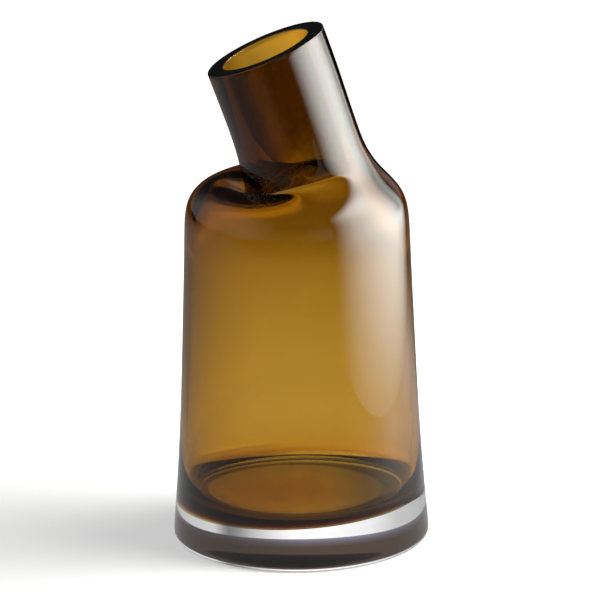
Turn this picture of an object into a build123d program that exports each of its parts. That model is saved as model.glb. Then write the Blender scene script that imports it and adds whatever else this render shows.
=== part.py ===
from build123d import *
import math
import os

# A leaning-neck bud vase in two pieces of glass: an amber vessel fused on a thick clear base.
# Millimetres, +Z up, origin at the centre of the underside. The neck leans towards -X.

# Base
FOOT_RADIUS = 43.9  # flat contact face
JOINT_HEIGHT = 16.2  # height of the fused joint's edge, midway between its low and high side
JOINT_SLOPE = 0.047  # rise of the joint per millimetre towards +X
JOINT_BULGE = 5.0  # the amber glass bulges down into the clear glass, deepest in the middle
JOINT_RADIUS = 45.4  # where the bulge meets the slanted plane of the joint

# Rim
RIM_X = -10.52  # centre of the rim
RIM_Z = 181.54
RIM_RADIUS = 22.42
BORE_RADIUS = 16.4
RIM_TILT = 22.18  # degrees from level, low side towards -X
RIM_ROUND = 0.5
RIM_EDGES = 4  # half circles round the rim's flat face, the highest edges of the vessel
MOUTH_RUN = 8.0  # how far the hollow is run on past the rim

# Inside floor
FLOOR_HEIGHT = 16.6
FLOOR_RADIUS = 26.0  # where its outline starts; the floor stays flat to about 33

# Outside of the body: height, radius. A rounded foot, then one long hollow curve up the sides.
BODY = [
    (0.0, FOOT_RADIUS),
    (0.0, 45.7),
    (0.9, 46.6),
    (4.2, 46.5),
    (11.0, 45.85),
    (20.0, 45.1),
    (36.0, 43.9),
    (54.0, 42.95),
    (76.0, 42.05),
    (96.0, 41.25),
    (110.0, 40.75),
]

# Outside of the shoulder and neck: low-side X and Z, high-side X and Z of each leaning circle.
# The low side runs over the shoulder, down into the fold, and turns back up the neck.
SHOULDER = [
    (-40.6, 119.0, 40.5, 119.5),
    (-39.6, 126.0, 39.3, 126.6),
    (-35.4, 131.0, 35.6, 131.5),
    (-30.0, 133.2, 32.0, 135.2),
    (-24.5, 133.0, 28.8, 139.0),
    (-19.6, 129.4, 26.3, 143.0),
    (-18.2, 128.9, 24.5, 146.6),
    (-18.9, 132.0, 23.1, 150.4),
    (-20.0, 137.6, 21.3, 156.0),
    (-21.8, 146.0, 18.8, 163.8),
    (-26.1, 158.7, 15.0, 176.4),
]

# Inside of the body: height, radius. The floor turns up into the wall in a small round. The wall
# is about 2.8 mm and thickens slowly to the shoulder.
HOLLOW = [
    (FLOOR_HEIGHT, FLOOR_RADIUS),
    (FLOOR_HEIGHT, 34.5),
    (17.3, 38.4),
    (20.4, 41.2),
    (27.0, 41.6),
    (38.0, 41.1),
    (54.0, 40.15),
    (76.0, 39.2),
    (96.0, 38.2),
    (108.0, 37.4),
]

# Inside of the shoulder and neck. The wall is 4.6 mm at the shoulder and 6 mm in the neck.
THROAT = [
    (-36.5, 117.0, 36.5, 117.2),
    (-35.2, 123.6, 35.0, 124.2),
    (-32.0, 127.4, 31.7, 128.6),
    (-28.2, 128.6, 28.2, 132.2),
    (-24.2, 127.6, 25.2, 136.0),
    (-19.6, 125.2, 22.4, 140.2),
    (-15.0, 125.2, 20.4, 144.0),
    (-13.0, 129.4, 18.8, 147.6),
    (-13.4, 135.0, 17.2, 152.2),
    (-15.0, 143.0, 14.4, 158.6),
    (-19.0, 156.4, 10.6, 169.8),
]

SPAN_STEPS = 3  # circles per span of the outlines
TURN_STEPS = 16  # points along each half circle
SURFACE_TOLERANCE = 0.005
BLOCK_SIDE = 200.0  # wider and deeper than the vase


def rim_ring(radius, beyond):
    """Circle in the rim plane, or in a plane beyond it along the mouth."""
    tilt = math.radians(RIM_TILT)
    x = RIM_X - beyond * math.sin(tilt)
    z = RIM_Z + beyond * math.cos(tilt)
    lean_x = radius * math.cos(tilt)
    lean_z = radius * math.sin(tilt)
    return (x - lean_x, z - lean_z, x + lean_x, z + lean_z)


def upright(profile):
    """Level circles from height and radius."""
    return [(-radius, height, radius, height) for height, radius in profile]


def smooth(guides):
    """Cubic B-spline along the guides' polygon, from its first guide to its last."""
    before = tuple(2 * a - b for a, b in zip(guides[0], guides[1]))
    after = tuple(2 * a - b for a, b in zip(guides[-1], guides[-2]))
    run = [before] + guides + [after]
    out = []
    for i in range(len(run) - 3):
        for step in range(SPAN_STEPS):
            u = step / SPAN_STEPS
            weights = ((1 - u) ** 3, 3 * u**3 - 6 * u**2 + 4, -3 * u**3 + 3 * u**2 + 3 * u + 1, u**3)
            out.append(tuple(sum(w * p[k] for w, p in zip(weights, run[i : i + 4])) / 6 for k in range(4)))
    out.append(guides[-1])
    return out


def ring_point(ring, angle):
    """Point on the circle that has the two side points as its diameter."""
    low_x, low_z, high_x, high_z = ring
    half_x = (high_x - low_x) / 2
    half_z = (high_z - low_z) / 2
    along = math.cos(angle)
    across = math.hypot(half_x, half_z) * math.sin(angle)
    return Vector((low_x + high_x) / 2 + along * half_x, -across, (low_z + high_z) / 2 + along * half_z)


def round_solid(guides):
    """Solid through the circles of the guides, as a front half, a back half and two flat ends."""
    angles = [math.pi * turn / TURN_STEPS for turn in range(TURN_STEPS + 1)]
    grid = [[ring_point(ring, angle) for angle in angles] for ring in smooth(guides)]
    front = Face.make_surface_from_array_of_points(grid, tol=SURFACE_TOLERANCE)
    back = front.mirror(Plane.XZ)
    ends = []
    for pick in (0, -1):
        edge = front.edges().sort_by(Axis.Z)[pick]
        ends.append(Face(Wire([edge, edge.mirror(Plane.XZ)])))
    return Solid(Shell([front, back] + ends))


def joint_block():
    """Everything below the fused joint: a slanted block with a shallow bowl in its top."""
    face = Plane(origin=(0, 0, JOINT_HEIGHT), z_dir=(-JOINT_SLOPE, 0, 1))
    block = Box(BLOCK_SIDE, BLOCK_SIDE, BLOCK_SIDE, align=(Align.CENTER, Align.CENTER, Align.MAX))
    bowl_radius = (JOINT_RADIUS**2 + JOINT_BULGE**2) / (2 * JOINT_BULGE)
    bowl = Pos(0, 0, bowl_radius - JOINT_BULGE) * Sphere(bowl_radius)
    return face * (block - bowl)


def skin():
    """The whole outside of the vase as one solid."""
    return round_solid(upright(BODY) + SHOULDER + [rim_ring(RIM_RADIUS, 0)])


def cavity():
    """The hollow inside, run on past the rim so that it opens the mouth."""
    mouth = [rim_ring(BORE_RADIUS, 0), rim_ring(BORE_RADIUS, MOUTH_RUN)]
    return round_solid(upright(HOLLOW) + THROAT + mouth)


def amber_vessel(outside):
    """Body, shoulder and neck: one hollow piece of amber glass."""
    vessel = outside - joint_block() - cavity()
    return fillet(vessel.edges().sort_by(Axis.Z)[-RIM_EDGES:], RIM_ROUND)


def clear_base(outside):
    """Solid clear disc with a rounded foot and a hollowed top, thicker towards +X."""
    return outside & joint_block()


os.makedirs("parts", exist_ok=True)
whole = skin()
export_step(amber_vessel(whole), "parts/amber_vessel.step")
export_step(clear_base(whole), "parts/clear_base.step")
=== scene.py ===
import math

import bmesh
import bpy
import numpy as np
from mathutils import Matrix, Vector

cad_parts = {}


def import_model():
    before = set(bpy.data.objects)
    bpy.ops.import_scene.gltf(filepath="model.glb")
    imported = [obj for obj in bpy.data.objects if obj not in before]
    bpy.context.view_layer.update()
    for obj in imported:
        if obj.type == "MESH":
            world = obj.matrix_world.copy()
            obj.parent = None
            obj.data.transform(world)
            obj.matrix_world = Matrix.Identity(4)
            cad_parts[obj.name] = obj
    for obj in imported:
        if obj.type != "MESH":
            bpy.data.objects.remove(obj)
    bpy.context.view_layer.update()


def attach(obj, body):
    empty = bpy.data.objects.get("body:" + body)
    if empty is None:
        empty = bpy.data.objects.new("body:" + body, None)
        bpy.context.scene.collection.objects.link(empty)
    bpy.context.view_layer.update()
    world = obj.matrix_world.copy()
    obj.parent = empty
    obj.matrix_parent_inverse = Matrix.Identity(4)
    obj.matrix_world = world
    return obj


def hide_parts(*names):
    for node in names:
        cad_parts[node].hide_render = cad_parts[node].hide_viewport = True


# A leaning-neck bud vase: an amber glass vessel fused on a thick clear glass base.
# Everything is in metres in the part's frame: +Z up, the origin at the centre of the underside.

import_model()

MM = 0.001

# Outlines, in millimetres, as in the part: each entry is the circle whose diameter joins a point
# on the low side (-X) and one on the high side (+X), as low X, low Z, high X, high Z.
RIM_X, RIM_Z = -10.52, 181.54
RIM_RADIUS, BORE_RADIUS = 22.42, 16.4
RIM_TILT = math.radians(22.18)
RIM_ROUND = 0.5
JOINT_HEIGHT, JOINT_SLOPE = 16.2, 0.047
JOINT_BULGE, JOINT_RADIUS = 5.0, 45.4
FLOOR_HEIGHT, FLOOR_RADIUS = 16.6, 26.0

BODY = [
    (0.0, 43.9), (0.0, 45.7), (0.9, 46.6), (4.2, 46.5), (11.0, 45.85), (20.0, 45.1),
    (36.0, 43.9), (54.0, 42.95), (76.0, 42.05), (96.0, 41.25), (110.0, 40.75),
]
SHOULDER = [
    (-40.6, 119.0, 40.5, 119.5), (-39.6, 126.0, 39.3, 126.6), (-35.4, 131.0, 35.6, 131.5),
    (-30.0, 133.2, 32.0, 135.2), (-24.5, 133.0, 28.8, 139.0), (-19.6, 129.4, 26.3, 143.0),
    (-18.2, 128.9, 24.5, 146.6), (-18.9, 132.0, 23.1, 150.4), (-20.0, 137.6, 21.3, 156.0),
    (-21.8, 146.0, 18.8, 163.8), (-26.1, 158.7, 15.0, 176.4),
]
HOLLOW = [
    (FLOOR_HEIGHT, FLOOR_RADIUS), (FLOOR_HEIGHT, 34.5), (17.3, 38.4), (20.4, 41.2), (27.0, 41.6),
    (38.0, 41.1), (54.0, 40.15), (76.0, 39.2), (96.0, 38.2), (108.0, 37.4),
]
THROAT = [
    (-36.5, 117.0, 36.5, 117.2), (-35.2, 123.6, 35.0, 124.2), (-32.0, 127.4, 31.7, 128.6),
    (-28.2, 128.6, 28.2, 132.2), (-24.2, 127.6, 25.2, 136.0), (-19.6, 125.2, 22.4, 140.2),
    (-15.0, 125.2, 20.4, 144.0), (-13.0, 129.4, 18.8, 147.6), (-13.4, 135.0, 17.2, 152.2),
    (-15.0, 143.0, 14.4, 158.6), (-19.0, 156.4, 10.6, 169.8),
]

# The fused joint is the lower cap of a ball whose centre lies square above the slanted plane.
BALL_RADIUS = (JOINT_RADIUS**2 + JOINT_BULGE**2) / (2 * JOINT_BULGE)
BALL_RISE = (BALL_RADIUS - JOINT_BULGE) / math.hypot(1, JOINT_SLOPE)
BALL_CENTRE = np.array((-JOINT_SLOPE * BALL_RISE, 0.0, JOINT_HEIGHT + BALL_RISE))

AROUND = 256  # points round each ring
SPAN_STEPS = 10  # rings per span of an outline
JOINT_CLEAR = 0.6  # millimetres that a ring has to lie past the fused joint to be kept
JOINT_STRIDE = 3  # rings from the first kept one to the one that certainly lies across the joint
EDGE_STEPS = 6  # rings round each edge of the rim
FLAT_STEPS = 6  # spans across the rim's flat face
DISC_RINGS = 12  # rings that close a flat end
BOWL_RINGS = 24  # rings that close an end along the joint
SHARP_ANGLE = math.radians(40)


def rim_ring(radius, beyond=0.0):
    """Circle in the rim plane, or in a plane that far beyond it (behind it if negative)."""
    x = RIM_X - beyond * math.sin(RIM_TILT)
    z = RIM_Z + beyond * math.cos(RIM_TILT)
    lean_x, lean_z = radius * math.cos(RIM_TILT), radius * math.sin(RIM_TILT)
    return (x - lean_x, z - lean_z, x + lean_x, z + lean_z)


def upright(profile):
    return [(-radius, height, radius, height) for height, radius in profile]


def smooth(guides):
    """Cubic B-spline along the guides' polygon, from its first guide to its last."""
    guides = np.array(guides, float)
    run = np.vstack([2 * guides[0] - guides[1], guides, 2 * guides[-1] - guides[-2]])
    out = []
    for i in range(len(run) - 3):
        for step in range(SPAN_STEPS):
            u = step / SPAN_STEPS
            weights = ((1 - u) ** 3, 3 * u**3 - 6 * u**2 + 4, -3 * u**3 + 3 * u**2 + 3 * u + 1, u**3)
            out.append(sum(w * p for w, p in zip(weights, run[i : i + 4])) / 6)
    out.append(guides[-1])
    return np.array(out)


def ring_points(rings):
    """Array of rings by points round them, in millimetres."""
    angle = np.linspace(0, 2 * math.pi, AROUND, endpoint=False)
    middle = (rings[:, :2] + rings[:, 2:]) / 2
    half = (rings[:, 2:] - rings[:, :2]) / 2
    radius = np.hypot(half[:, 0], half[:, 1])
    points = np.zeros((len(rings), AROUND, 3))
    points[:, :, 0] = middle[:, :1] + half[:, :1] * np.cos(angle)
    points[:, :, 1] = -radius[:, None] * np.sin(angle)
    points[:, :, 2] = middle[:, 1:] + half[:, 1:] * np.cos(angle)
    return points


def joint_height(points):
    """Height of the fused joint at each point's place."""
    away = points[..., :2] - BALL_CENTRE[:2]
    return BALL_CENTRE[2] - np.sqrt(BALL_RADIUS**2 - (away**2).sum(-1))


def above_joint(points, lift=0.0):
    """Rings above the fused joint, led by one ring lying on it, lift millimetres higher."""
    z = points[:, :, 2] - joint_height(points) - lift
    first = min(i for i in range(len(points)) if z[i].min() > JOINT_CLEAR)
    under = first - JOINT_STRIDE
    share = (z[under] / (z[under] - z[first]))[:, None]
    cut = points[under] + (points[first] - points[under]) * share
    return np.concatenate([cut[None], points[first:]])


def below_joint(points, lift=0.0):
    """Rings below the fused joint, closed by one ring lying on it."""
    z = points[:, :, 2] - joint_height(points) - lift
    last = max(i for i in range(len(points)) if z[i].max() < -JOINT_CLEAR)
    over = last + JOINT_STRIDE
    share = (z[last] / (z[last] - z[over]))[:, None]
    cut = points[last] + (points[over] - points[last]) * share
    return np.concatenate([points[: last + 1], cut[None]])


def disc(ring, rings=DISC_RINGS):
    """Rings that close a flat end towards its middle, outermost first, without the given ring."""
    middle = ring.mean(0)
    return [middle + (ring - middle) * (1 - k / rings) for k in range(1, rings)]


def bowl(ring, lift):
    """Rings that close an end along the fused joint, outermost first, without the given ring."""
    rings = disc(ring, BOWL_RINGS)
    for made in rings:
        made[:, 2] = joint_height(made) + lift
    return rings


def ring_mesh(name, chain, material):
    """Closed mesh through a chain of rings, capped at both ends by a point."""
    chain = np.array(chain) * MM
    count = len(chain)
    verts = [tuple(p) for p in chain.reshape(-1, 3)]
    faces = []
    for i in range(count - 1):
        for j in range(AROUND):
            k = (j + 1) % AROUND
            faces.append((i * AROUND + j, i * AROUND + k, (i + 1) * AROUND + k, (i + 1) * AROUND + j))
    for i in (0, count - 1):
        verts.append(tuple(chain[i].mean(0)))
        centre = len(verts) - 1
        for j in range(AROUND):
            k = (j + 1) % AROUND
            faces.append((i * AROUND + j, i * AROUND + k, centre))
    mesh = bpy.data.meshes.new(name)
    mesh.from_pydata(verts, [], faces)
    work = bmesh.new()
    work.from_mesh(mesh)
    bmesh.ops.recalc_face_normals(work, faces=work.faces)
    work.to_mesh(mesh)
    work.free()
    mesh.polygons.foreach_set("use_smooth", [True] * len(mesh.polygons))
    mesh.materials.append(material)
    piece = bpy.data.objects.new(name, mesh)
    bpy.context.scene.collection.objects.link(piece)
    return piece


def edge_round(outer, inner):
    """Rings from the outer side of the rim over its flat face to the bore, with rounded edges."""
    rings = []
    for step in range(1, EDGE_STEPS + 1):
        a = math.pi / 2 * step / EDGE_STEPS
        rings.append(rim_ring(outer - RIM_ROUND * (1 - math.cos(a)), -RIM_ROUND * (1 - math.sin(a))))
    for k in range(1, FLAT_STEPS):
        rings.append(rim_ring(outer - RIM_ROUND + (inner - outer + 2 * RIM_ROUND) * k / FLAT_STEPS))
    for step in range(EDGE_STEPS + 1):
        a = math.pi / 2 * (1 - step / EDGE_STEPS)
        rings.append(rim_ring(inner + RIM_ROUND * (1 - math.cos(a)), -RIM_ROUND * (1 - math.sin(a))))
    return ring_points(np.array(rings))


# Materials

AMBER_ABSORPTION = (178.0, 286.0, 680.0)  # per metre, red green blue
GLASS_IOR = 1.52
JOINT_IOR = 1.001  # across the fused joint light goes on almost straight
JOINT_REACH = 0.00008  # metres either side of the joint that count as fused
WAVE_SCALE = 26.0  # waves of blown glass, per metre or so
AMBER_WAVE, CLEAR_WAVE = 0.00006, 0.00004  # their depth in metres


def node(tree, kind, x, y, **inputs):
    made = tree.nodes.new(kind)
    made.location = (x, y)
    for name, value in inputs.items():
        made.inputs[name.replace("_", " ")].default_value = value
    return made


def put(tree, socket, value):
    """Set a socket to a number, or feed it from another node's output."""
    if isinstance(value, (int, float)):
        socket.default_value = value
    elif value is not None:
        tree.links.new(value, socket)


def math_node(tree, operation, x, y, first=None, second=None):
    made = node(tree, "ShaderNodeMath", x, y)
    made.operation = operation
    for socket, value in zip(made.inputs, (first, second)):
        put(tree, socket, value)
    return made.outputs[0]


def blend(tree, x, y, factor, first, second):
    """Number that goes from first to second with the factor."""
    made = node(tree, "ShaderNodeMix", x, y)
    put(tree, made.inputs["Factor"], factor)
    put(tree, made.inputs[2], first)
    put(tree, made.inputs[3], second)
    return made.outputs[0]


def rise(tree, x, y, value, low, high):
    """Number that goes from 0 to 1 as the value goes from low to high."""
    made = node(tree, "ShaderNodeMapRange", x, y, From_Min=low, From_Max=high)
    put(tree, made.inputs["Value"], value)
    return made.outputs[0]


def glass(name, wave):
    """Smooth blown glass, with the fused joint made invisible to light."""
    material = bpy.data.materials.new(name)
    material.use_nodes = True
    tree = material.node_tree
    shader = tree.nodes["Principled BSDF"]
    shader.inputs["Base Color"].default_value = (1, 1, 1, 1)
    shader.inputs["Transmission Weight"].default_value = 1
    shader.inputs["Roughness"].default_value = 0.0
    place = node(tree, "ShaderNodeTexCoord", -1200, 0).outputs["Object"]

    away = node(tree, "ShaderNodeVectorMath", -1000, 200)
    away.operation = "DISTANCE"
    tree.links.new(place, away.inputs[0])
    away.inputs[1].default_value = BALL_CENTRE * MM
    off = math_node(tree, "SUBTRACT", -820, 200, away.outputs["Value"], BALL_RADIUS * MM)
    off = math_node(tree, "ABSOLUTE", -500, 200, off)
    fused = math_node(tree, "LESS_THAN", -340, 200, off, JOINT_REACH)
    tree.links.new(blend(tree, -180, 200, fused, GLASS_IOR, JOINT_IOR), shader.inputs["IOR"])

    slow = node(tree, "ShaderNodeTexNoise", -820, -200, Scale=WAVE_SCALE, Detail=1.0, Roughness=0.4)
    tree.links.new(place, slow.inputs["Vector"])
    bump = node(tree, "ShaderNodeBump", -340, -200, Strength=1.0, Distance=wave)
    tree.links.new(slow.outputs["Fac"], bump.inputs["Height"])
    tree.links.new(bump.outputs["Normal"], shader.inputs["Normal"])
    return material


def amber_glass():
    material = glass("amber_glass", AMBER_WAVE)
    tree = material.node_tree
    density = max(AMBER_ABSORPTION)
    colour = [1 - value / density for value in AMBER_ABSORPTION]
    volume = node(tree, "ShaderNodeVolumeAbsorption", 0, -400, Density=density, Color=(*colour, 1))
    tree.links.new(volume.outputs["Volume"], tree.nodes["Material Output"].inputs["Volume"])
    return material


def clear_glass():
    return glass("clear_glass", CLEAR_WAVE)


# Pieces

JOINT_GAP = 0.03  # millimetres between the two fused faces, so that they don't cover each other

outer = ring_points(smooth(upright(BODY) + SHOULDER + [rim_ring(RIM_RADIUS)]))
inner = ring_points(smooth(upright(HOLLOW) + THROAT + [rim_ring(BORE_RADIUS)]))

upper = above_joint(outer, JOINT_GAP / 2)
wall = list(upper[:-1])
tip = edge_round(RIM_RADIUS, BORE_RADIUS)
chain = bowl(upper[0], JOINT_GAP / 2)[::-1] + wall + list(tip) + list(inner[::-1][1:]) + disc(inner[0])
amber = ring_mesh("amber_glass_vessel", chain, amber_glass())

lower = below_joint(outer, -JOINT_GAP / 2)
chain = disc(lower[0])[::-1] + list(lower) + bowl(lower[-1], -JOINT_GAP / 2)
base = ring_mesh("clear_glass_base", chain, clear_glass())

for piece, cad_node, slot in (
    (amber, "amber_vessel", "amber_glass"),
    (base, "clear_base", "clear_glass"),
):
    piece.data.set_sharp_from_angle(angle=SHARP_ANGLE)
    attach(piece, "root")
    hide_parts(cad_node)


# Studio: everything from here on lights and shows the vase, and isn't part of it.
# A curve is a list of (place, level) with straight stretches between. Lengths are in metres.

FLOOR_HALF = 6.0  # half the floor's side
FLOOR_DROP = 0.0002  # how far the floor lies under the vase, clear of its underside
FLOOR_PAINT = 0.8

# Glow of the floor by distance from the vase, painted light: seen directly, weaker close to the vase,
# painted shade that deepens the real shadow there; and seen through the glass, a painted pool of light.
FLOOR_SEEN_PAINTED_SHADE = [(0.0, 0.50), (0.16, 0.55), (0.40, 1.0), (6.0, 1.05)]
FLOOR_THROUGH_PAINTED_POOL = [
    (0.0, 1.7), (0.08, 1.7), (0.095, 1.42), (0.112, 1.34), (0.186, 1.25), (0.245, 1.18), (0.316, 1.08),
    (0.366, 1.04), (0.44, 1.04), (0.5, 1.0), (0.55, 1.0), (0.65, 1.05), (0.72, 1.2), (0.79, 1.55),
    (0.85, 1.8), (1.05, 1.8), (1.2, 1.4),
]
# Share of the painted pool by the slant of the place, dimmer to the left, painted shade: the slant is x over
# y plus a shift. Places nearer than the least y count as lying at it.
SLANT_SHIFT = 0.5
SLANT_LEAST_Y = 0.3
POOL_SIDES_PAINTED = [
    (0.0, 0.5), (0.1, 0.66), (0.2, 0.74), (0.3, 0.86), (0.37, 0.97), (0.42, 1.04), (0.5, 1.0),
    (0.55, 1.03), (0.6, 1.1), (0.8, 1.1), (1.0, 0.9),
]
# A patch of painted shade in the pool, straight behind the vase and to the right: share by distance. It
# comes in between two slants.
POOL_PATCH_PAINTED_SHADE = [
    (0.0, 1.0), (0.45, 1.0), (0.525, 0.9), (0.575, 0.75), (0.603, 0.7), (0.7, 0.7),
    (0.727, 0.9), (0.79, 1.0), (1.2, 1.0),
]
PATCH_START, PATCH_FULL = 0.4, 0.47
# Painted light on the floor right under the vase by distance from a place a little behind and left of its
# middle, dark at its edge, a painted contact shadow; and on the floor close about it, with a brighter ring,
# by distance from its middle. Each has a share by how far across it is, x plus a shift, dimmer to one side,
# painted shade. One turns into the other over the edge of the vase.
UNDER_MIDDLE = (-0.003, 0.0075)
FLOOR_UNDER_PAINTED = [
    (0.0, 1.62), (0.014, 1.6), (0.0255, 1.3), (0.0295, 1.0), (0.0335, 0.9), (0.0346, 0.3), (0.06, 0.3),
]
FLOOR_CLOSE_PAINTED = [(0.0, 1.5), (0.05, 1.5), (0.055, 1.75), (0.07, 1.75), (0.08, 1.6)]
ACROSS_SHIFT = 0.05
UNDER_SIDES_PAINTED = [
    (0.0, 0.9), (0.02, 0.9), (0.03, 0.96), (0.04, 1.0), (0.05, 1.0), (0.061, 0.85), (0.07, 0.55),
    (0.075, 0.42), (0.08, 0.4), (0.096, 0.45), (0.1, 0.8),
]
CLOSE_SIDES_PAINTED = [
    (0.0, 0.65), (0.012, 0.7), (0.023, 0.8), (0.037, 0.88), (0.05, 1.03), (0.062, 1.07), (0.077, 1.18),
    (0.09, 1.25), (0.14, 1.25),
]
EDGE_INSIDE, EDGE_OUTSIDE = 0.044, 0.05
# Pools of light that only show mirrored in the glass: middle, and brightness by distance from it.
POOLS = [
    ((-0.26, 0.10), [(0.0, 0.3), (0.1, 0.27), (0.2, 0.22), (0.29, 0.2), (0.425, 0.13), (0.69, 0.04),
                     (0.8, 0.01), (2.0, 0.0)]),
    ((-1.2, 0.0), [(0.0, 0.25), (0.35, 0.24), (0.5, 0.18), (0.65, 0.09), (0.9, 0.0), (1.2, 0.0)]),
    ((-6.0, 0.0), [(0.0, 0.24), (3.9, 0.24), (4.15, 0.15), (4.3, 0.06), (4.45, 0.0), (7.0, 0.0)]),
    ((0.24, 0.0), [(0.0, 1.8), (0.07, 0.8), (0.14, 0.2), (0.25, 0.0), (1.0, 0.0)]),
    ((0.26, 0.15), [(0.0, 1.2), (0.03, 1.15), (0.05, 0.95), (0.086, 0.5), (0.12, 0.3), (0.17, 0.0),
                    (1.0, 0.0)]),
    ((0.02, -0.02), [(0.0, 0.3), (0.1, 0.27), (0.16, 0.18), (0.26, 0.03), (0.3, 0.0), (1.0, 0.0)]),
]
# Brightness of the room by the height (sine) of the direction, as seen through the glass.
ROOM = [
    (0.0, 0.9), (0.02, 0.8), (0.045, 0.15), (0.08, 0.03), (0.2, (0.045, 0.032, 0.025)),
    (0.4, (0.045, 0.032, 0.025)), (0.55, 0.03), (1.0, 0.03),
]
# Brightness of the room mirrored in the glass: a wide soft light on the left and a low dim one on
# the right, each by how far across the direction is (plus one) and by its height, over a dim rest.
ROOM_LEFT = [(0.0, 0.45), (0.2, 0.42), (0.35, 0.35), (0.5, 0.15), (0.65, 0.03), (0.8, 0.0), (2.0, 0.0)]
ROOM_LEFT_FADE = [(0.0, 0.8), (0.2, 1.0), (0.7, 1.0), (0.85, 0.3), (1.0, 0.0)]
ROOM_RIGHT = [(0.0, 0.0), (1.1, 0.0), (1.3, 0.2), (1.5, 0.28), (2.0, 0.28)]
ROOM_RIGHT_FADE = [(0.0, 1.0), (0.25, 1.0), (0.45, 0.0), (1.0, 0.0)]
ROOM_MIRRORED = 0.02
# The softbox on the right. Its edges fade out over a share of each half side, and its upper part
# is dimmer towards its back edge, by how far from its front edge.
KEY_PLACE = (0.25, 0.01, 0.255)
KEY_AIM = (0.0, 0.01, 0.255)
KEY_WIDTH, KEY_HEIGHT = 0.72, 0.61
KEY_RADIANCE = 12.7
KEY_TINT = (0.98, 1.0, 0.93, 1.0)
KEY_FADE_WIDTH, KEY_FADE_HEIGHT = 1.0, 0.6
KEY_FLAG = [
    (0.0, 1.0), (0.385, 1.0), (0.41, 0.93), (0.436, 0.85), (0.488, 0.68), (0.55, 0.42), (0.58, 0.55),
    (0.62, 0.95), (0.72, 1.0),
]
FLAG_START, FLAG_FULL = -0.16, -0.12  # heights from the panel's middle
# The grey sheet behind the neck, seen only through the glass, which paints shade into the neck: its corners,
# and the share of light that it lets through by place across it, which is x plus the lean times z.
NECK_SHADE_CORNERS = [(-0.1, 0.05, 0.127), (0.03, 0.05, 0.127), (0.03, 0.05, 0.18), (-0.1, 0.05, 0.1275)]
NECK_SHADE_LEAN = 0.4
NECK_SHADE = [
    (0.0, 0.12), (0.016, 0.15), (0.023, 0.22), (0.029, 0.3), (0.034, 0.38), (0.039, 0.55), (0.044, 0.6),
    (0.048, 0.5), (0.052, 0.4), (0.056, 0.33), (0.061, 0.28), (0.066, 0.25), (0.2, 0.25),
]
# Brightness of the light round the foot by height, and of the tinted glow over it, painted light, bluish low
# and dim brown higher; and their share by the sideways direction they are seen from (plus one).
STRIP_RADIUS = 0.051
STRIP_LOW, STRIP_TOP, GLOW_TOP = -0.0001, 0.0121, 0.05
FOOT_LIGHT = [(0.0, 1.0), (0.02, 1.0)]
FOOT_GLOW = [
    (0.0, (0.22, 0.235, 0.31)), (0.0121, (0.22, 0.235, 0.31)), (0.0136, (0.1, 0.09, 0.12)),
    (0.0155, (0.035, 0.022, 0.014)), (0.024, (0.028, 0.014, 0.007)), (0.04, (0.03, 0.015, 0.007)),
    (0.05, 0.0),
]
FOOT_SIDES = [
    (0.0, 0.6), (0.47, 0.65), (0.54, 0.3), (0.58, 0.18), (0.66, 0.3), (0.714, 0.47), (0.83, 0.78),
    (0.95, 1.05), (1.155, 1.05), (1.397, 0.9), (1.59, 0.6), (2.0, 0.5),
]
GLOW_SIDES = [(0.0, 0.2), (0.6, 0.2), (0.8, 0.5), (1.0, 1.0), (1.3, 1.0), (1.6, 0.6), (2.0, 0.5)]
THROUGH_GLASS_ONLY = ("camera", "diffuse", "glossy", "shadow")  # rays that pass by a piece


def lookup(tree, value, x, y, stops):
    """Piecewise straight curve of a value, as a colour ramp over 0 to the last stop's place."""
    reach = stops[-1][0]
    scaled = math_node(tree, "DIVIDE", x, y, value, reach)
    ramp = node(tree, "ShaderNodeValToRGB", x + 180, y)
    tree.links.new(scaled, ramp.inputs[0])
    marks = ramp.color_ramp.elements
    while len(marks) < len(stops):
        marks.new(0.5)
    for mark, (place, level) in zip(marks, stops):
        mark.position = place / reach
        mark.color = (*level, 1) if isinstance(level, tuple) else (level, level, level, 1)
    return ramp.outputs[0]


def split_xyz(tree, x, y, vector):
    """The vector's X, Y and Z, by name."""
    made = node(tree, "ShaderNodeSeparateXYZ", x, y)
    tree.links.new(vector, made.inputs[0])
    return made.outputs


def distance(tree, x, y, place, middle):
    """Distance of the place from a point of the floor."""
    made = node(tree, "ShaderNodeVectorMath", x, y)
    made.operation = "DISTANCE"
    tree.links.new(place, made.inputs[0])
    made.inputs[1].default_value = (*middle, 0)
    return made.outputs["Value"]


def bare_material(name):
    """New material with nothing but its output, and its node tree."""
    material = bpy.data.materials.new(name)
    material.use_nodes = True
    tree = material.node_tree
    tree.nodes.remove(tree.nodes["Principled BSDF"])
    return material, tree


def level_corners(half_x, half_y):
    return [(-half_x, -half_y, 0), (half_x, -half_y, 0), (half_x, half_y, 0), (-half_x, half_y, 0)]


def stage_piece(name, verts, faces, material, unseen_by=()):
    """Mesh of the studio, which rays of the given kinds pass by."""
    mesh = bpy.data.meshes.new(name)
    mesh.from_pydata(verts, [], faces)
    mesh.materials.append(material)
    piece = bpy.data.objects.new(name, mesh)
    for kind in unseen_by:
        setattr(piece, "visible_" + kind, False)
    bpy.context.scene.collection.objects.link(piece)
    return piece


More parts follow.
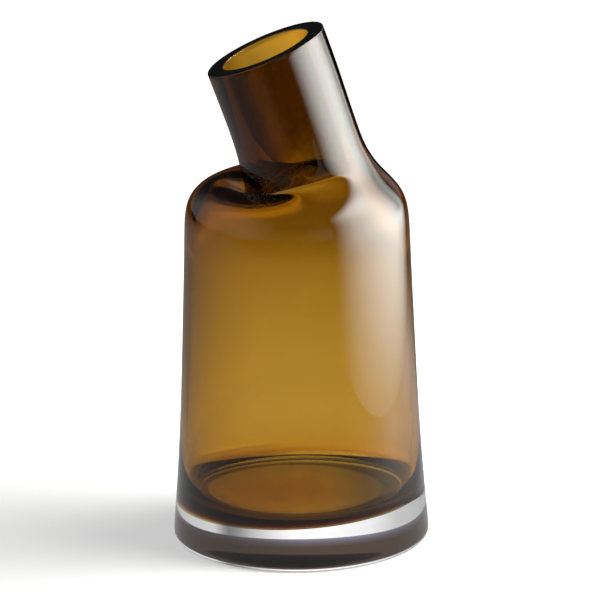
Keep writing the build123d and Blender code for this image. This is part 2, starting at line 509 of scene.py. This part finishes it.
def far_floor(tree, reach, spot):
    """Painted pool of light on the floor beyond the vase, seen through the glass, with painted shade to its
    left and in a patch behind the vase.
    """
    forward = math_node(tree, "MAXIMUM", -1300, 100, spot["Y"], SLANT_LEAST_Y)
    slant = math_node(tree, "DIVIDE", -1150, 100, spot["X"], forward)
    slant = math_node(tree, "ADD", -1000, 100, slant, SLANT_SHIFT)
    level = lookup(tree, reach, -1300, 300, FLOOR_THROUGH_PAINTED_POOL)
    level = math_node(tree, "MULTIPLY", -500, 300, level, lookup(tree, slant, -850, 100, POOL_SIDES_PAINTED))
    patch = lookup(tree, reach, -1300, -700, POOL_PATCH_PAINTED_SHADE)
    inside = rise(tree, -850, -600, slant, PATCH_START, PATCH_FULL)
    share = blend(tree, -600, -600, inside, 1.0, patch)
    return math_node(tree, "MULTIPLY", -450, -500, level, share)


def near_floor(tree, reach, spot, place):
    """Painted light on the floor under and close about the vase, seen through the glass, with a painted
    contact shadow at the vase's edge and painted shade to the sides.
    """
    across = math_node(tree, "ADD", -1300, 700, spot["X"], ACROSS_SHIFT)
    middle = distance(tree, -1500, 600, place, UNDER_MIDDLE)
    under = lookup(tree, middle, -1300, 600, FLOOR_UNDER_PAINTED)
    under = math_node(tree, "MULTIPLY", -700, 700, under, lookup(tree, across, -1100, 700, UNDER_SIDES_PAINTED))
    close = lookup(tree, reach, -1300, 400, FLOOR_CLOSE_PAINTED)
    close = math_node(tree, "MULTIPLY", -700, 600, close, lookup(tree, across, -1100, 900, CLOSE_SIDES_PAINTED))
    beyond = rise(tree, -1100, 1100, reach, EDGE_INSIDE, EDGE_OUTSIDE)
    return blend(tree, -550, 700, beyond, under, close)


def mirrored_floor(tree, place):
    """Brightness of the floor mirrored in the glass: all its pools together."""
    total = 0.0
    for k, (middle, levels) in enumerate(POOLS):
        row = -900 - 200 * k
        pool = lookup(tree, distance(tree, -1500, row, place, middle), -1300, row, levels)
        total = math_node(tree, "ADD", -800, row, pool, total)
    return total


def floor():
    """Pale floor that glows, painted light. Seen directly it is white, with painted shade close to the vase.
    Through the glass it shows a painted pool of light behind the vase, and mirrored in the glass weaker
    painted pools beside it and round its foot."""
    material = bpy.data.materials.new("floor_painted_light")
    material.use_nodes = True
    tree = material.node_tree
    shader = tree.nodes["Principled BSDF"]
    shader.inputs["Roughness"].default_value = 0.9
    shader.inputs["Specular IOR Level"].default_value = 0.0
    ray = node(tree, "ShaderNodeLightPath", -1800, 700).outputs
    place = node(tree, "ShaderNodeNewGeometry", -1800, 0).outputs["Position"]
    spot = split_xyz(tree, -1500, 100, place)
    reach = distance(tree, -1500, 300, place, (0, 0))
    is_near = math_node(tree, "LESS_THAN", -600, 450, reach, FLOOR_CLOSE_PAINTED[-1][0])
    far = far_floor(tree, reach, spot)
    near = near_floor(tree, reach, spot, place)
    level = blend(tree, -400, 400, is_near, far, near)
    level = blend(tree, -300, 200, ray["Is Reflection Ray"], level, mirrored_floor(tree, place))
    # seen directly: glow weaker close to the vase, painted shade that deepens the real shadow there
    seen = lookup(tree, reach, -1300, 500, FLOOR_SEEN_PAINTED_SHADE)
    level = blend(tree, -100, 200, ray["Is Camera Ray"], level, seen)
    tree.links.new(level, shader.inputs["Emission Strength"])
    shader.inputs["Emission Color"].default_value = (1, 1, 1, 1)
    paint = math_node(tree, "MULTIPLY", -100, 500, ray["Is Camera Ray"], FLOOR_PAINT)
    tree.links.new(paint, shader.inputs["Base Color"])
    piece = stage_piece("floor", level_corners(FLOOR_HALF, FLOOR_HALF), [(0, 1, 2, 3)], material)
    piece.location.z = -FLOOR_DROP


def strip(name, low, high, stops, sides, opaque):
    """Round band of light close about the foot, seen only through the glass. Its brightness goes
    by height and by the sideways direction it is seen from. It lets light past it, or where it is
    opaque only light that comes up from the floor."""
    material, tree = bare_material(name)
    geometry = node(tree, "ShaderNodeNewGeometry", -1500, 0).outputs
    spot = split_xyz(tree, -1300, 100, geometry["Position"])
    toward = split_xyz(tree, -1300, -100, geometry["Incoming"])
    sideways = math_node(tree, "ADD", -1250, -100, toward["X"], 1.0)
    shine = node(tree, "ShaderNodeEmission", -200, 0)
    tree.links.new(lookup(tree, spot["Z"], -1100, 100, stops), shine.inputs["Color"])
    tree.links.new(lookup(tree, sideways, -1100, -100, sides), shine.inputs["Strength"])
    clear = node(tree, "ShaderNodeBsdfTransparent", -200, -200)
    both = node(tree, "ShaderNodeMixShader" if opaque else "ShaderNodeAddShader", 0, 0)
    if opaque:
        seen_from_above = math_node(tree, "GREATER_THAN", -200, 200, toward["Z"], 0.0)
        tree.links.new(seen_from_above, both.inputs[0])
    tree.links.new(shine.outputs[0], both.inputs[-2])
    tree.links.new(clear.outputs[0], both.inputs[-1])
    tree.links.new(both.outputs[0], tree.nodes["Material Output"].inputs["Surface"])
    material.cycles.emission_sampling = "NONE"
    turns = [2 * math.pi * k / AROUND for k in range(AROUND)]
    verts = [(STRIP_RADIUS * math.cos(a), STRIP_RADIUS * math.sin(a), z) for z in (low, high) for a in turns]
    faces = [(k, (k + 1) % AROUND, AROUND + (k + 1) % AROUND, AROUND + k) for k in range(AROUND)]
    stage_piece(name, verts, faces, material, THROUGH_GLASS_ONLY)


def soft_edge(tree, y, place, half, share):
    """Fades from 1 to 0 over the outer share of a half side."""
    off = math_node(tree, "ABSOLUTE", -700, y, place)
    start = half * (1 - share)
    fade = node(tree, "ShaderNodeMapRange", -500, y, From_Min=start, From_Max=half, To_Min=1, To_Max=0)
    fade.interpolation_type = "SMOOTHSTEP"
    tree.links.new(off, fade.inputs["Value"])
    return fade.outputs[0]


def key_panel():
    """Softbox with soft edges, lit on the side that faces the vase."""
    material, tree = bare_material("key_right")
    half_x, half_y = KEY_WIDTH / 2, KEY_HEIGHT / 2
    spot = split_xyz(tree, -900, 0, node(tree, "ShaderNodeTexCoord", -1100, 0).outputs["Object"])
    fade_x = soft_edge(tree, 100, spot["X"], half_x, KEY_FADE_WIDTH)
    fade_y = soft_edge(tree, -100, spot["Y"], half_y, KEY_FADE_HEIGHT)
    level = math_node(tree, "MULTIPLY", -300, 0, fade_x, fade_y)
    behind = node(tree, "ShaderNodeNewGeometry", -500, 400).outputs["Backfacing"]
    level = math_node(tree, "MULTIPLY", -150, 0, level, math_node(tree, "SUBTRACT", -300, 300, 1.0, behind))
    across = math_node(tree, "SUBTRACT", -700, -300, half_x, spot["X"])
    raised = rise(tree, -500, -500, spot["Y"], FLAG_START, FLAG_FULL)
    share = blend(tree, -200, -400, raised, 1.0, lookup(tree, across, -550, -300, KEY_FLAG))
    level = math_node(tree, "MULTIPLY", -75, 0, level, share)
    level = math_node(tree, "MULTIPLY", 0, 0, level, KEY_RADIANCE)
    shine = node(tree, "ShaderNodeEmission", 160, 0, Color=KEY_TINT)
    tree.links.new(level, shine.inputs["Strength"])
    tree.links.new(shine.outputs[0], tree.nodes["Material Output"].inputs["Surface"])
    corners = level_corners(half_x, half_y)
    piece = stage_piece("key_right", corners, [(0, 1, 2, 3)], material, ("camera", "transmission"))
    piece.location = KEY_PLACE
    piece.rotation_euler = (Vector(KEY_AIM) - Vector(KEY_PLACE)).to_track_quat("Z", "Y").to_euler()


def neck_shade_sheet():
    """Grey sheet behind the neck, seen only through the glass, which dims what is seen through the neck:
    painted shade.
    """
    material, tree = bare_material("neck_painted_shade")
    spot = split_xyz(tree, -900, 0, node(tree, "ShaderNodeNewGeometry", -1100, 0).outputs["Position"])
    lean = math_node(tree, "MULTIPLY", -700, -100, spot["Z"], NECK_SHADE_LEAN)
    across = math_node(tree, "ADD", -550, 0, spot["X"], lean)
    veil = node(tree, "ShaderNodeBsdfTransparent", 0, 0)
    tree.links.new(lookup(tree, across, -400, 0, NECK_SHADE), veil.inputs["Color"])
    tree.links.new(veil.outputs[0], tree.nodes["Material Output"].inputs["Surface"])
    stage_piece("neck_shade_sheet", NECK_SHADE_CORNERS, [(0, 1, 2, 3)], material, THROUGH_GLASS_ONLY)


def mirrored_room(tree, way):
    """Brightness of the room mirrored in the glass, by the direction that is seen."""
    across = math_node(tree, "ADD", -900, -200, way["X"], 1.0)
    left = lookup(tree, across, -900, -300, ROOM_LEFT)
    left = math_node(tree, "MULTIPLY", -500, -300, left, lookup(tree, way["Z"], -900, -500, ROOM_LEFT_FADE))
    right = lookup(tree, across, -900, -700, ROOM_RIGHT)
    low = lookup(tree, way["Z"], -900, -900, ROOM_RIGHT_FADE)
    right = math_node(tree, "MULTIPLY", -500, -700, right, low)
    both = math_node(tree, "ADD", -400, -500, left, right)
    return math_node(tree, "ADD", -350, -300, both, ROOM_MIRRORED)


def colour_mix(tree, x, factor, first):
    """Mix node from the first colour to a second, which is white until another is linked to it."""
    made = node(tree, "ShaderNodeMixRGB", x, 0, Color2=(1, 1, 1, 1))
    tree.links.new(factor, made.inputs["Fac"])
    tree.links.new(first, made.inputs["Color1"])
    return made


def world():
    """Dim room through the glass, softly lit room mirrored in it, and white seen directly."""
    made = bpy.data.worlds.new("studio")
    bpy.context.scene.world = made
    made.use_nodes = True
    tree = made.node_tree
    way = split_xyz(tree, -900, 0, node(tree, "ShaderNodeTexCoord", -1100, 0).outputs["Generated"])
    ray = node(tree, "ShaderNodeLightPath", -700, 300).outputs
    room = lookup(tree, way["Z"], -900, 0, ROOM)
    mirrored = colour_mix(tree, -200, ray["Is Reflection Ray"], room)
    tree.links.new(mirrored_room(tree, way), mirrored.inputs["Color2"])
    seen = colour_mix(tree, 0, ray["Is Camera Ray"], mirrored.outputs["Color"])
    background = tree.nodes["Background"]
    background.location.x = 200
    tree.links.new(seen.outputs["Color"], background.inputs["Color"])


floor()
world()
key_panel()
neck_shade_sheet()
strip("strip_round_foot", STRIP_LOW, STRIP_TOP, FOOT_LIGHT, FOOT_SIDES, True)
# tinted glow over the foot, seen only through the glass: painted light
strip("glow_over_foot", STRIP_TOP, GLOW_TOP, FOOT_GLOW, GLOW_SIDES, False)


# Camera

CAMERA_ELEVATION = math.radians(16.075)
CAMERA_ROLL = math.radians(0.841)
CAMERA_DISTANCE = 1.9053
CAMERA_TARGET = Vector((0, 0, 0.09527))
SENSOR_MM, LENS_MM = 36, 316.656
SHIFT_X, SHIFT_Y = 0.00363333, -0.03158333  # of the frame's width, for the framing only
CLIP_NEAR, CLIP_FAR = 0.05, 50


def camera():
    """Long lens, looking down on the vase and turned a little about its own axis."""
    ahead = Vector((0, math.cos(CAMERA_ELEVATION), -math.sin(CAMERA_ELEVATION)))
    side = Vector((1, 0, 0))
    over = side.cross(ahead)
    turned_side = side * math.cos(CAMERA_ROLL) - over * math.sin(CAMERA_ROLL)
    turned_over = side * math.sin(CAMERA_ROLL) + over * math.cos(CAMERA_ROLL)
    data = bpy.data.cameras.new("camera")
    data.sensor_width = SENSOR_MM
    data.lens = LENS_MM
    data.shift_x = SHIFT_X
    data.shift_y = SHIFT_Y
    data.clip_start = CLIP_NEAR
    data.clip_end = CLIP_FAR
    made = bpy.data.objects.new("camera", data)
    turn = Matrix((turned_side, turned_over, -ahead)).transposed().to_4x4()
    made.matrix_world = Matrix.Translation(CAMERA_TARGET - ahead * CAMERA_DISTANCE) @ turn
    bpy.context.scene.collection.objects.link(made)
    bpy.context.scene.camera = made


camera()
scene = bpy.context.scene
scene.view_settings.view_transform = "Standard"
scene.cycles.max_bounces = 24
scene.cycles.transmission_bounces = 24
scene.cycles.glossy_bounces = 12
scene.cycles.caustics_refractive = False
scene.cycles.caustics_reflective = False
